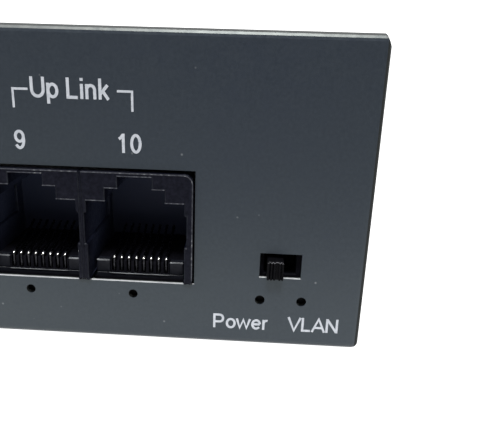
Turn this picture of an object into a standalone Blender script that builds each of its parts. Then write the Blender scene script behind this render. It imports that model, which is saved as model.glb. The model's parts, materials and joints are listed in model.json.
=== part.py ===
"""A 1U network switch with eight PoE ports, two uplink ports and a built-in power supply.

The frame is in metres: +X to the right as seen from the front, +Y from the front panel to
the rear panel, +Z up. The origin is on the surface that the feet stand on, in the middle.
"""

from math import cos, pi, radians, sin

import bmesh
import bpy
from mathutils import Matrix, Vector

MM = 0.001

# --- driving dimensions, in millimetres -------------------------------------------------
CASE_WIDTH = 280.0
CASE_DEPTH = 180.0
CASE_HEIGHT = 41.0
FOOT_HEIGHT = 2.0
SHEET = 0.8
GAP = 0.3
BEND = 0.9
CORNER_ACROSS = 0.8
CORNER_DOWN = 1.6
KNOB_PROUD = 1.6
INLET_FLANGE = 2.2

# The knob stands out in front and the inlet behind, and the box round them is centred on Y.
RIGHT = CASE_WIDTH / 2
FRONT = KNOB_PROUD - (CASE_DEPTH + KNOB_PROUD + GAP + INLET_FLANGE) / 2
REAR = FRONT + CASE_DEPTH
FLOOR = FOOT_HEIGHT
TOP = FLOOR + CASE_HEIGHT

# The tray is the front, the bottom and the rear, with short returns at the top and the sides.
# The cover is the top and the sides between those returns.
RETURN = 8.0
COVER_FRONT = FRONT + RETURN + GAP
COVER_REAR = REAR - RETURN - GAP
TRAY_SIDE = RIGHT - SHEET - GAP
SIDE_FLANGE_TOP = FLOOR + 14.0

PORT_PITCH = 13.97
PORT_TO_RIGHT_EDGE = 30.08
UPLINK_PORTS = 2
POE_PORTS = 8
OPENING_END = 7.65
BLOCK_GAP = 5.0
JACK_HALF = PORT_PITCH / 2 - GAP / 2
END_WALL = OPENING_END - 0.25 - JACK_HALF
PORT_10_X = RIGHT - PORT_TO_RIGHT_EDGE
PORT_9_X = PORT_10_X - PORT_PITCH
PORT_8_X = PORT_9_X - 2 * OPENING_END - BLOCK_GAP
OPENING_LOW = FLOOR + 8.56
OPENING_HIGH = FLOOR + 24.06

BOARD = 1.6
BOARD_TOP = FLOOR + 8.0
BOARD_LOW = BOARD_TOP - BOARD
BOARD_SEAT = BOARD_TOP + GAP

JACK_LOW = BOARD_SEAT
JACK_SILL = OPENING_LOW + GAP
JACK_HIGH = FLOOR + 23.6
JACK_PROUD = 0.5
JACK_FRONT = FRONT - JACK_PROUD
JACK_DEPTH = 18.0
CAVITY_DEPTH = 14.0
NOTCH_HALF = 2.2
SHOULDER_HALF = 3.84
CAVITY_HALF = 6.33
RELIEF_HALF = 6.62
NOTCH_TOP = FLOOR + 23.1
SHOULDER_TOP = FLOOR + 21.52
CAVITY_TOP = FLOOR + 19.81
RELIEF_TOP = FLOOR + 18.14
RELIEF_LOW = FLOOR + 13.9
CAVITY_LOW = FLOOR + 8.9

CONTACTS = 8
CONTACT_PITCH = 1.02
WIRE = 0.45
COMB_FRONT = FRONT + 2.2
COMB_LIP = 1.5
COMB_HALF = 5.95
COMB_TOP = FLOOR + 10.7

LED_ROW = FLOOR + 6.81
LED_SHIFT = -0.56
PORT_LED_RADIUS = 0.62
STATUS_LED_RADIUS = 0.66
POWER_LED_X = RIGHT - 13.63
VLAN_LED_X = RIGHT - 8.14

WINDOW_LEFT = RIGHT - 13.87
WINDOW_RIGHT = RIGHT - 8.45
WINDOW_LOW = FLOOR + 10.06
WINDOW_HIGH = FLOOR + 13.52
KNOB_WIDTH = 2.09
KNOB_LOW = WINDOW_LOW + 0.36
KNOB_HIGH = WINDOW_HIGH - 0.66
KNOB_LEFT = WINDOW_LEFT + 0.94
KNOB_TRAVEL = 1.5

MAIN_LEFT, MAIN_RIGHT = -36.0, 134.0
MAIN_FRONT, MAIN_REAR = FRONT + 3.2, 20.0
POWER_LEFT, POWER_RIGHT = -132.0, -44.0
POWER_FRONT, POWER_REAR = -70.0, 62.0

INLET_X = -100.0
INLET_Z = FLOOR + 22.0
SCREW_SEGMENTS = 16

# --- materials: base colour, roughness, metallic ----------------------------------------
FINISHES = {
    "charcoal_paint": ((0.055, 0.062, 0.075), 0.5, 0.0),
    "black_plastic": ((0.012, 0.012, 0.014), 0.4, 0.0),
    "contact_gold": ((0.85, 0.62, 0.28), 0.25, 1.0),
    "green_board": ((0.02, 0.12, 0.05), 0.45, 0.0),
    "bright_steel": ((0.6, 0.6, 0.6), 0.3, 1.0),
    "black_rubber": ((0.02, 0.02, 0.02), 0.85, 0.0),
    "aluminium": ((0.55, 0.56, 0.58), 0.4, 1.0),
    "clear_acrylic": ((0.75, 0.78, 0.8), 0.1, 0.0),
    "ferrite": ((0.04, 0.04, 0.045), 0.7, 0.0),
    "capacitor_sleeve": ((0.03, 0.03, 0.05), 0.35, 0.0),
    "wire_insulation": ((0.03, 0.03, 0.03), 0.5, 0.0),
}


def clear_scene():
    for obj in list(bpy.data.objects):
        bpy.data.objects.remove(obj)


def new_collection(name):
    collection = bpy.data.collections.new(name)
    bpy.context.scene.collection.children.link(collection)
    return collection


clear_scene()
PARTS = new_collection("network_switch")
CUTTERS = new_collection("cutters")


def finish_of(name):
    material = bpy.data.materials.get(name)
    if material is None:
        colour, roughness, metallic = FINISHES[name]
        material = bpy.data.materials.new(name)
        material.use_nodes = True
        shader = material.node_tree.nodes["Principled BSDF"]
        shader.inputs["Base Color"].default_value = (*colour, 1.0)
        shader.inputs["Roughness"].default_value = roughness
        shader.inputs["Metallic"].default_value = metallic
    return material


# --- building blocks --------------------------------------------------------------------
def place(obj, name, finish):
    """Names the object and puts it among the parts, or among the cutters if it has no finish."""
    for collection in list(obj.users_collection):
        collection.objects.unlink(obj)
    obj.name = name
    obj.data.name = name
    if finish is None:
        CUTTERS.objects.link(obj)
        obj.hide_render = True
        obj.display_type = "WIRE"
    else:
        PARTS.objects.link(obj)
        obj.data.materials.append(finish_of(finish))
    return obj


def box(name, low, high, finish=None):
    """A box between two corners in millimetres."""
    middle = [(a + b) / 2 * MM for a, b in zip(low, high)]
    size = [(b - a) * MM for a, b in zip(low, high)]
    bpy.ops.mesh.primitive_cube_add(size=1.0, location=middle)
    obj = bpy.context.object
    obj.data.transform(Matrix.Diagonal((*size, 1.0)))
    return place(obj, name, finish)


def cylinder(name, centre, radius, length, axis, finish=None, segments=SCREW_SEGMENTS, tip=None):
    """A cylinder, or a cone with another radius at its far end, centred on a point in mm."""
    bpy.ops.mesh.primitive_cone_add(
        vertices=segments,
        radius1=radius * MM,
        radius2=(radius if tip is None else tip) * MM,
        depth=length * MM,
        location=[c * MM for c in centre],
    )
    obj = bpy.context.object
    obj.rotation_euler = Vector(axis).to_track_quat("Z", "Y").to_euler()
    return place(obj, name, finish)


def rounded(corners, segments=3):
    """An outline through corners (u, v, radius), with an arc at each corner that has a radius."""
    points = []
    for i, (u, v, radius) in enumerate(corners):
        here = Vector((u, v))
        if not radius:
            points.append(here)
            continue
        back = (Vector(corners[i - 1][:2]) - here).normalized()
        ahead = (Vector(corners[(i + 1) % len(corners)][:2]) - here).normalized()
        centre = here + radius * (back + ahead)
        for k in range(segments + 1):
            turn = k / segments * pi / 2
            points.append(centre - radius * (ahead * cos(turn) + back * sin(turn)))
    return points


TURNS = {
    "X": (pi / 2, 0.0, pi / 2),
    "Y": (pi / 2, 0.0, 0.0),
    "Z": (0.0, 0.0, 0.0),
}


def prism(name, outline, low, high, axis, finish=None):
    """A flat outline in mm, extruded along an axis from low to high.

    The outline's plane is YZ for X, XZ for Y and XY for Z.
    """
    curve = bpy.data.curves.new(name, "CURVE")
    curve.dimensions = "2D"
    curve.fill_mode = "BOTH"
    curve.extrude = (high - low) / 2 * MM
    spline = curve.splines.new("POLY")
    spline.points.add(len(outline) - 1)
    for point, (u, v) in zip(spline.points, outline):
        point.co = (u * MM, v * MM, 0.0, 1.0)
    spline.use_cyclic_u = True
    guide = bpy.data.objects.new(name, curve)
    bpy.context.scene.collection.objects.link(guide)
    middle = (low + high) / 2 * MM
    guide.location = {"X": (middle, 0, 0), "Y": (0, middle, 0), "Z": (0, 0, middle)}[axis]
    guide.rotation_euler = TURNS[axis]
    return meshed(guide, name, finish)


def meshed(guide, name, finish):
    """Turns a curve object into a welded mesh object, and removes the curve."""
    bpy.context.view_layer.update()
    graph = bpy.context.evaluated_depsgraph_get()
    mesh = bpy.data.meshes.new_from_object(guide.evaluated_get(graph))
    mesh.materials.clear()
    shape = bmesh.new()
    shape.from_mesh(mesh)
    bmesh.ops.remove_doubles(shape, verts=shape.verts, dist=1e-6)
    bmesh.ops.recalc_face_normals(shape, faces=shape.faces)
    shape.to_mesh(mesh)
    shape.free()
    obj = bpy.data.objects.new(name, mesh)
    bpy.context.scene.collection.objects.link(obj)
    obj.matrix_world = guide.matrix_world
    bpy.data.objects.remove(guide)
    return place(obj, name, finish)


def tube(name, points, radius, finish):
    """A round wire through points in mm, smoothed by a Catmull-Rom curve."""
    path = [Vector(p) for p in points]
    path = [2 * path[0] - path[1], *path, 2 * path[-1] - path[-2]]
    smooth = []
    steps = 4
    for a, b, c, d in zip(path, path[1:], path[2:], path[3:]):
        for k in range(steps):
            t = k / steps
            smooth.append(
                0.5
                * (
                    2 * b
                    + (c - a) * t
                    + (2 * a - 5 * b + 4 * c - d) * t**2
                    + (3 * b - a - 3 * c + d) * t**3
                )
            )
    smooth.append(path[-2])
    curve = bpy.data.curves.new(name, "CURVE")
    curve.dimensions = "3D"
    curve.bevel_depth = radius * MM
    curve.bevel_resolution = 2
    curve.use_fill_caps = True
    spline = curve.splines.new("POLY")
    spline.points.add(len(smooth) - 1)
    for point, at in zip(spline.points, smooth):
        point.co = (*(at * MM), 1.0)
    obj = bpy.data.objects.new(name, curve)
    bpy.context.scene.collection.objects.link(obj)
    return meshed(obj, name, finish)


def boolean(target, other, operation):
    modifier = target.modifiers.new(other.name, "BOOLEAN")
    modifier.operation = operation
    modifier.solver = "EXACT"
    modifier.object = other


def cut(target, *cutters):
    for cutter in cutters:
        boolean(target, cutter, "DIFFERENCE")
    return target


def join(target, *others):
    for other in others:
        boolean(target, other, "UNION")
    return target


def bevel(obj, width, segments=2):
    modifier = obj.modifiers.new("Bevel", "BEVEL")
    modifier.width = width * MM
    modifier.segments = segments
    return obj


def soften(obj):
    """Smooth shading on the round stretches only."""
    obj.data.shade_smooth()
    obj.data.set_sharp_from_angle(angle=radians(35))
    return obj


# --- where the fasteners and the ports go ----------------------------------------------
UPLINK_X = [PORT_9_X, PORT_10_X]
POE_X = [PORT_8_X - PORT_PITCH * (POE_PORTS - 1 - i) for i in range(POE_PORTS)]
PORTS_X = POE_X + UPLINK_X
STATUS_LED_X = [POWER_LED_X, VLAN_LED_X]

COVER_SCREW_Y = (-58.0, 58.0)
COVER_SCREW_Z = FLOOR + 7.0
MAIN_SCREWS = [(x, y) for x in (-32.0, 130.0) for y in (-62.0, 16.0)]
POWER_SCREWS = [(-127.0, -65.0), (-49.0, 57.0)]
EAR_HOLES = [(y, z) for y in (FRONT + 16.0, FRONT + 41.0) for z in (FLOOR + 17.0, FLOOR + 33.0)]
GROUND_SCREW = (INLET_X + 32.0, FLOOR + 14.0)
FEET = [(x, y) for y in (-75.0, 75.0) for x in (-125.0, 125.0)]

SIDE_SLOTS = 14
REAR_SLOTS = 16
SLOT_PITCH = 5.6
SLOT_WIDTH = 2.8
SIDE_SLOT_FRONT = -20.0
REAR_SLOT_LEFT = -20.0


# --- sheet metal ------------------------------------------------------------------------
def slot_outline(middle, low, high):
    """A vertical slot with round ends."""
    half = SLOT_WIDTH / 2
    radius = half * 0.98
    corners = [
        (middle - half, low, radius),
        (middle + half, low, radius),
        (middle + half, high, radius),
        (middle - half, high, radius),
    ]
    return rounded(corners, segments=2)


def screw_sinks(label):
    """Cones through both sheets for the countersunk screws at the sides."""
    sinks = []
    for y in COVER_SCREW_Y:
        for side in (-1, 1):
            at = (side * (RIGHT - 1.2), y, COVER_SCREW_Z)
            name = f"cut_{label}_sink_{y:.0f}_{side}"
            sinks.append(cylinder(name, at, 1.5, 3.0, (side, 0, 0), tip=4.5))
    return sinks


def corner_outline(side):
    """A triangle that trims the front's top corner along a slanting line, in XZ."""
    across, down = CORNER_ACROSS, CORNER_DOWN
    return [
        (side * (RIGHT - 1.5 * across), TOP + 0.5 * down),
        (side * (RIGHT + 0.5 * across), TOP - 1.5 * down),
        (side * (RIGHT + 1.0), TOP + 1.0),
    ]


def make_tray():
    tray = box("base_tray", (-RIGHT, FRONT, FLOOR), (RIGHT, REAR, TOP), "charcoal_paint")
    bevel(tray, BEND, segments=4)
    inside = box(
        "cut_tray_inside",
        (-RIGHT + SHEET, FRONT + SHEET, FLOOR + SHEET),
        (RIGHT - SHEET, REAR - SHEET, TOP - SHEET),
    )
    top = box(
        "cut_tray_top",
        (-RIGHT - 1.0, FRONT + RETURN, TOP - 5.0),
        (RIGHT + 1.0, REAR - RETURN, TOP + 1.0),
    )
    cut(tray, inside, top)
    for side, label in ((-1, "left"), (1, "right")):
        outer, inner = sorted((side * TRAY_SIDE, side * (RIGHT + 1.0)))
        opening = box(
            f"cut_tray_{label}",
            (outer, FRONT + RETURN, FLOOR - 1.0),
            (inner, REAR - RETURN, TOP + 1.0),
        )
        low, high = sorted((side * (TRAY_SIDE - SHEET), side * TRAY_SIDE))
        flange = box(
            f"add_flange_{label}",
            (low, FRONT + RETURN + 1.0, FLOOR + SHEET / 2),
            (high, REAR - RETURN - 1.0, SIDE_FLANGE_TOP),
        )
        corner = prism(f"cut_corner_{label}", corner_outline(side), FRONT - 1.0, COVER_FRONT, "Y")
        cut(tray, opening, corner)
        join(tray, flange)

    post_low, post_top = FLOOR + SHEET / 2, BOARD_LOW - GAP
    for i, (x, y) in enumerate([*MAIN_SCREWS, *POWER_SCREWS]):
        middle = (x, y, (post_low + post_top) / 2)
        join(tray, cylinder(f"add_post_{i}", middle, 3.0, post_top - post_low, (0, 0, 1)))
        cut(tray, cylinder(f"cut_post_{i}", (x, y, post_top), 1.45, 8.0, (0, 0, 1), segments=12))

    for label, xs in (("uplink", UPLINK_X), ("poe", POE_X)):
        opening = box(
            f"cut_{label}_opening",
            (xs[0] - OPENING_END, FRONT - 2.0, OPENING_LOW),
            (xs[-1] + OPENING_END, FRONT + 2.0, OPENING_HIGH),
        )
        cut(tray, opening)
    window = box(
        "cut_switch_window",
        (WINDOW_LEFT, FRONT - 2.0, WINDOW_LOW),
        (WINDOW_RIGHT, FRONT + 2.0, WINDOW_HIGH),
    )
    cut(tray, window)
    holes = [(x + LED_SHIFT, PORT_LED_RADIUS) for x in PORTS_X]
    holes += [(x, STATUS_LED_RADIUS) for x in STATUS_LED_X]
    for i, (x, radius) in enumerate(holes):
        cut(tray, cylinder(f"cut_led_{i + 1}", (x, FRONT, LED_ROW), radius, 4.0, (0, 1, 0)))
    cut(tray, *screw_sinks("tray"))

    cut(tray, prism("cut_inlet_hole", inlet_outline(GAP), REAR - 2, REAR + 2, "Y"))
    ground = (GROUND_SCREW[0], REAR, GROUND_SCREW[1])
    cut(tray, cylinder("cut_ground_hole", ground, 2.1, 4.0, (0, 1, 0)))
    for i in range(REAR_SLOTS):
        outline = slot_outline(REAR_SLOT_LEFT + i * SLOT_PITCH, FLOOR + 11.0, FLOOR + 31.0)
        cut(tray, prism(f"cut_rear_slot_{i}", outline, REAR - 2, REAR + 2, "Y"))
    return soften(tray)


def make_cover():
    inner = RIGHT - SHEET
    outline = rounded(
        [
            (-RIGHT, FLOOR + GAP, 0),
            (-inner, FLOOR + GAP, 0),
            (-inner, TOP - SHEET, BEND - SHEET),
            (inner, TOP - SHEET, BEND - SHEET),
            (inner, FLOOR + GAP, 0),
            (RIGHT, FLOOR + GAP, 0),
            (RIGHT, TOP, BEND),
            (-RIGHT, TOP, BEND),
        ],
        segments=4,
    )
    cover = prism("top_cover", outline, COVER_FRONT, COVER_REAR, "Y", "charcoal_paint")
    for label, edge, inward in (("front", COVER_FRONT, 1), ("rear", COVER_REAR, -1)):
        low, middle, high = TOP - 2 * SHEET - GAP, TOP - SHEET - GAP, TOP - SHEET / 2
        tongue = [
            (edge - inward * 4.0, low),
            (edge + inward * 3.0, low),
            (edge + inward * 3.0, high),
            (edge + inward * 0.5, high),
            (edge + inward * 0.5, middle),
            (edge - inward * 4.0, middle),
        ]
        join(cover, prism(f"add_{label}_tongue", tongue, -RIGHT + 6.0, RIGHT - 6.0, "X"))
    for i in range(SIDE_SLOTS):
        outline = slot_outline(SIDE_SLOT_FRONT + i * SLOT_PITCH, FLOOR + 17.0, FLOOR + 35.0)
        cut(cover, prism(f"cut_side_slot_{i}", outline, -RIGHT - 5, RIGHT + 5, "X"))
    for i, (y, z) in enumerate(EAR_HOLES):
        cut(cover, cylinder(f"cut_ear_hole_{i}", (0, y, z), 1.6, CASE_WIDTH + 10, (1, 0, 0)))
    cut(cover, *screw_sinks("cover"))
    return soften(cover)


def make_feet():
    height = FOOT_HEIGHT - GAP
    for i, (x, y) in enumerate(FEET):
        foot = cylinder(
            f"rubber_foot_{i + 1}",
            (x, y, height / 2),
            5.5,
            height,
            (0, 0, 1),
            "black_rubber",
            segments=24,
            tip=6.0,
        )
        soften(foot)


# --- fasteners --------------------------------------------------------------------------
def turned(name, profile, at, axis, finish, steps=SCREW_SEGMENTS):
    """A solid turned round its own Z from (radius, height) points, top to bottom, in mm."""
    mesh = bpy.data.meshes.new(name)
    points = [(r * MM, 0.0, h * MM) for r, h in profile]
    mesh.from_pydata(points, [(i, i + 1) for i in range(len(points) - 1)], [])
    obj = bpy.data.objects.new(name, mesh)
    bpy.context.scene.collection.objects.link(obj)
    screw = obj.modifiers.new("Screw", "SCREW")
    screw.steps = steps
    screw.render_steps = steps
    screw.use_merge_vertices = True
    screw.merge_threshold = 1e-6
    obj.location = [c * MM for c in at]
    obj.rotation_euler = Vector(axis).to_track_quat("Z", "Y").to_euler()
    return place(obj, name, finish)


def cross_recess(name, at, axis, reach, depth):
    """Two crossed bars that cut a cross recess into a screw head at a point, along an axis."""
    bars = []
    for turn, label in ((0.0, "a"), (pi / 2, "b")):
        bpy.ops.mesh.primitive_cube_add(size=1.0)
        bar = bpy.context.object
        bar.data.transform(Matrix.Diagonal((2 * reach * MM, 0.55 * MM, 2 * depth * MM, 1.0)))
        bar.data.transform(Matrix.Rotation(turn, 4, "Z"))
        bar.rotation_euler = Vector(axis).to_track_quat("Z", "Y").to_euler()
        bar.location = [c * MM for c in at]
        bars.append(place(bar, f"{name}_recess_{label}", None))
    return bars


def pan_screw(name, at, axis, length, head_radius=2.7, shank=1.25):
    """A pan-head screw whose head seats at a point and whose shank runs against the axis."""
    profile = [
        (0, 1.9),
        (head_radius * 0.55, 1.8),
        (head_radius * 0.9, 1.3),
        (head_radius, 0.7),
        (head_radius, 0),
        (shank, 0),
        (shank, 0.4 - length),
        (shank * 0.7, -length),
        (0, -length),
    ]
    obj = turned(name, profile, at, axis, "bright_steel")
    top = Vector(at) + 1.9 * Vector(axis)
    cut(obj, *cross_recess(name, top, axis, head_radius * 0.55, 1.0))
    return obj


def flush_screw(name, at, axis):
    """A countersunk screw whose head top is at a point."""
    profile = [(0, 0), (2.5, 0), (2.6, -0.2), (1.15, -1.7), (1.15, -4.6), (0.8, -5.0), (0, -5.0)]
    obj = turned(name, profile, at, axis, "bright_steel")
    cut(obj, *cross_recess(name, at, axis, 1.5, 0.9))
    return obj


def make_screws():
    for side, label in ((-1, "left"), (1, "right")):
        for y, place_name in zip(COVER_SCREW_Y, ("front", "rear")):
            at = (side * (RIGHT - 0.1), y, COVER_SCREW_Z)
            flush_screw(f"cover_screw_{label}_{place_name}", at, (side, 0, 0))
    for i, (x, y) in enumerate(MAIN_SCREWS):
        pan_screw(f"main_board_screw_{i + 1}", (x, y, BOARD_SEAT), (0, 0, 1), 5.2)
    for i, (x, y) in enumerate(POWER_SCREWS):
        pan_screw(f"power_board_screw_{i + 1}", (x, y, BOARD_SEAT), (0, 0, 1), 5.2)
    at = (GROUND_SCREW[0], REAR + GAP, GROUND_SCREW[1])
    pan_screw("ground_screw", at, (0, 1, 0), 7.0, head_radius=3.6, shank=1.8)


# --- boards and what stands on them -----------------------------------------------------
def make_board(name, left, right, front, rear, screws):
    board = box(name, (left, front, BOARD_LOW), (right, rear, BOARD_TOP), "green_board")
    for i, (x, y) in enumerate(screws):
        cut(board, cylinder(f"cut_{name}_{i}", (x, y, BOARD_TOP), 1.6, 6.0, (0, 0, 1), segments=12))
    return board


def make_line_transformers():
    """One line transformer module behind each pair of jacks."""
    for i in range(0, len(PORTS_X), 2):
        middle = (PORTS_X[i] + PORTS_X[i + 1]) / 2
        module = box(
            f"line_transformer_{i // 2 + 1}",
            (middle - 11.5, FRONT + 26.0, BOARD_SEAT),
            (middle + 11.5, FRONT + 38.0, BOARD_SEAT + 5.7),
            "ferrite",
        )
        bevel(module, 0.5, segments=1)


def finned_block(name, left, right, front, rear, low, high, fins, finish):
    """A heat sink: a base plate with straight fins along Y, as one outline."""
    outline = [(left, low), (right, low)]
    pitch = (right - left) / fins
    base = low + 2.0
    for i in reversed(range(fins)):
        fin_right = left + (i + 1) * pitch - (0 if i == fins - 1 else 0.3 * pitch)
        fin_left = left + i * pitch + (0 if i == 0 else 0.3 * pitch)
        outline += [(fin_right, base), (fin_right, high), (fin_left, high), (fin_left, base)]
    if outline[1][0] == outline[2][0]:
        outline.pop(2)
    outline.pop()
    return prism(name, outline, front, rear, "Y", finish)


def make_internals():
    make_board("main_board", MAIN_LEFT, MAIN_RIGHT, MAIN_FRONT, MAIN_REAR, MAIN_SCREWS)
    make_board("power_board", POWER_LEFT, POWER_RIGHT, POWER_FRONT, POWER_REAR, POWER_SCREWS)
    make_line_transformers()
    seat = BOARD_SEAT
    finned_block("switch_chip_heat_sink", 24, 60, -38, -6, seat, seat + 11, 7, "aluminium")
    finned_block("power_heat_sink", -64, -50, -34, 34, seat, seat + 24, 3, "aluminium")
    core = box("power_transformer", (-102, -34, seat), (-70, -2, seat + 25), "ferrite")
    bevel(core, 1.2, segments=2)
    capacitor = cylinder(
        "bulk_capacitor",
        (-114, 20, seat + 14),
        10.0,
        28.0,
        (0, 0, 1),
        "capacitor_sleeve",
        segments=28,
    )
    soften(bevel(capacitor, 0.8, segments=2))


def make_light_guides():
    """Clear bars at the main board's front edge, with a nub behind each LED hole."""
    groups = {
        "light_guide_poe": [x + LED_SHIFT for x in POE_X],
        "light_guide_uplink": [x + LED_SHIFT for x in UPLINK_X],
        "light_guide_status": STATUS_LED_X,
    }
    low, high = LED_ROW - 0.75, LED_ROW + 0.75
    front, shoulder, back = FRONT + SHEET + GAP, FRONT + 1.9, MAIN_FRONT - GAP
    for name, xs in groups.items():
        left, right = xs[0] - 1.8, xs[-1] + 1.8
        outline = [(right, shoulder), (right, back), (left, back), (left, shoulder)]
        for x in xs:
            outline += [(x - 0.9, shoulder), (x - 0.6, front), (x + 0.6, front), (x + 0.9, shoulder)]
        prism(name, outline, low, high, "Z", "clear_acrylic")


# --- jacks ------------------------------------------------------------------------------
def make_jack(number, x):
    """One RJ45 housing. Those at the ends of a block have a thicker outer wall."""
    left_end = number in (1, POE_PORTS + 1)
    right_end = number in (POE_PORTS, POE_PORTS + UPLINK_PORTS)
    left = x - JACK_HALF - (END_WALL if left_end else 0)
    right = x + JACK_HALF + (END_WALL if right_end else 0)
    round_left = 1.2 if left_end else 0
    round_right = 1.2 if right_end else 0
    outline = rounded(
        [
            (left, JACK_LOW, 0),
            (right, JACK_LOW, 0),
            (right, JACK_HIGH, round_right),
            (left, JACK_HIGH, round_left),
        ]
    )
    back = JACK_FRONT + JACK_DEPTH
    housing = prism(f"jack_housing_{number}", outline, JACK_FRONT, back, "Y", "black_plastic")
    cavity_outline = []
    for side in (-1, 1):
        half = [
            (CAVITY_HALF, CAVITY_LOW),
            (CAVITY_HALF, CAVITY_TOP),
            (SHOULDER_HALF, CAVITY_TOP),
            (SHOULDER_HALF, SHOULDER_TOP),
            (NOTCH_HALF, SHOULDER_TOP),
            (NOTCH_HALF, NOTCH_TOP),
        ]
        if side > 0:
            half.reverse()
        cavity_outline += [(x + side * u, v) for u, v in half]
    cavity = prism(
        f"cut_cavity_{number}",
        cavity_outline,
        JACK_FRONT - 1.0,
        JACK_FRONT + CAVITY_DEPTH,
        "Y",
    )
    relief = box(
        f"cut_relief_{number}",
        (x - RELIEF_HALF, JACK_FRONT - 1.0, RELIEF_LOW),
        (x + RELIEF_HALF, JACK_FRONT + CAVITY_DEPTH - 2.0, RELIEF_TOP),
    )
    step = box(
        f"cut_step_{number}",
        (left - 1.0, JACK_FRONT - 1.0, JACK_LOW - 1.0),
        (right + 1.0, FRONT + SHEET + GAP, JACK_SILL),
    )
    sill = box(
        f"cut_sill_{number}",
        (x - COMB_HALF - GAP, JACK_FRONT - 1.0, JACK_LOW - 1.0),
        (x + COMB_HALF + GAP, COMB_FRONT + COMB_LIP + GAP, CAVITY_LOW + 1.0),
    )
    return cut(housing, cavity, relief, step, sill)


def wire_outline():
    """A contact's side view in YZ: up the comb's front, over its edge, and back at a slope."""
    front = COMB_FRONT - 0.2
    low = CAVITY_LOW + GAP
    crest = COMB_TOP + 0.45
    end_y, end_z = JACK_FRONT + 10.5, FLOOR + 15.0
    return [
        (front, low),
        (front + 0.6, low),
        (front + 0.6, crest - 0.7),
        (end_y, end_z - 0.5),
        (end_y, end_z),
        (front + 0.6, crest),
        (front, crest - 0.45),
    ]


def make_contacts(number, x):
    """The comb that carries a jack's eight contact springs, with a lip down over the sill."""
    comb = box(
        f"contact_insert_{number}",
        (x - COMB_HALF, COMB_FRONT, CAVITY_LOW + GAP),
        (x + COMB_HALF, JACK_FRONT + CAVITY_DEPTH - GAP, COMB_TOP),
        "contact_gold",
    )
    lip = box(
        f"add_comb_lip_{number}",
        (x - COMB_HALF, COMB_FRONT, JACK_LOW),
        (x + COMB_HALF, COMB_FRONT + COMB_LIP, COMB_TOP),
    )
    join(comb, lip)
    for k in range(CONTACTS):
        middle = x + (k - (CONTACTS - 1) / 2) * CONTACT_PITCH
        name = f"add_wire_{number}_{k + 1}"
        join(comb, prism(name, wire_outline(), middle - WIRE / 2, middle + WIRE / 2, "X"))
    return comb


# --- slide switch -----------------------------------------------------------------------
def make_slide_switch():
    body_front, body_back = FRONT + 1.5, FRONT + 6.0
    middle = (WINDOW_LEFT + WINDOW_RIGHT) / 2
    body = box(
        "slide_switch_body",
        (middle - 4.3, body_front, BOARD_SEAT),
        (middle + 4.3, body_back, WINDOW_HIGH + 0.6),
        "black_plastic",
    )
    channel = box(
        "cut_switch_channel",
        (KNOB_LEFT - GAP, body_front - 1.0, KNOB_LOW - GAP),
        (KNOB_LEFT + KNOB_WIDTH + KNOB_TRAVEL + GAP, body_back - 1.0, KNOB_HIGH + GAP),
    )
    cut(body, channel)
    knob = box(
        "slide_switch_knob",
        (KNOB_LEFT, FRONT - KNOB_PROUD, KNOB_LOW),
        (KNOB_LEFT + KNOB_WIDTH, body_back - 1.0 - GAP, KNOB_HIGH),
        "black_plastic",
    )
    bevel(knob, 0.12, segments=1)
    groove = box(
        "cut_knob_groove",
        (KNOB_LEFT + 0.85, FRONT - KNOB_PROUD - 1.0, KNOB_LOW - 1.0),
        (KNOB_LEFT + 1.45, FRONT - KNOB_PROUD + 0.3, KNOB_HIGH - 0.3),
    )
    cut(knob, groove)


# --- mains inlet ------------------------------------------------------------------------
INLET_HALF_WIDTH = 13.6
INLET_HALF_HEIGHT = 9.8
INLET_CHAMFER = 4.2
INLET_BODY = 17.0


def inlet_outline(spare, wall=0.0):
    """The six-sided outline of the inlet, larger by spare or smaller by wall."""
    w = INLET_HALF_WIDTH + spare - wall
    h = INLET_HALF_HEIGHT + spare - wall
    c = INLET_CHAMFER
    corners = [(-w, -h), (w, -h), (w, h - c), (w - c, h), (c - w, h), (-w, h - c)]
    return [(INLET_X + u, INLET_Z + v) for u, v in corners]


def make_inlet():
    body = prism(
        "inlet_body", inlet_outline(0.0), REAR - INLET_BODY, REAR + GAP + 0.5, "Y", "black_plastic"
    )
    flange_outline = rounded(
        [
            (INLET_X - 15.6, INLET_Z - 12.0, 1.5),
            (INLET_X + 15.6, INLET_Z - 12.0, 1.5),
            (INLET_X + 15.6, INLET_Z + 12.0, 1.5),
            (INLET_X - 15.6, INLET_Z + 12.0, 1.5),
        ]
    )
    flange = prism("inlet_flange", flange_outline, REAR + GAP, REAR + GAP + INLET_FLANGE, "Y")
    cavity = prism(
        "cut_inlet_cavity", inlet_outline(0.0, wall=1.5), REAR - INLET_BODY + 2.0, REAR + 6, "Y"
    )
    join(body, flange)
    cut(body, cavity)
    pins = {"line": (-7.0, -1.5), "neutral": (7.0, -1.5), "earth": (0.0, 2.5)}
    for name, (dx, dz) in pins.items():
        low = Vector((INLET_X + dx - 1.0, REAR - INLET_BODY - 7.0, INLET_Z + dz - 2.0))
        high = Vector((INLET_X + dx + 1.0, REAR - 3.0, INLET_Z + dz + 2.0))
        slot = box(
            f"cut_inlet_pin_{name}",
            low - Vector((GAP, 0, GAP)),
            Vector((high.x + GAP, REAR - INLET_BODY + 4.0, high.z + GAP)),
        )
        cut(body, slot)
        bevel(box(f"inlet_pin_{name}", low, high, "bright_steel"), 0.4, segments=1)


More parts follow.
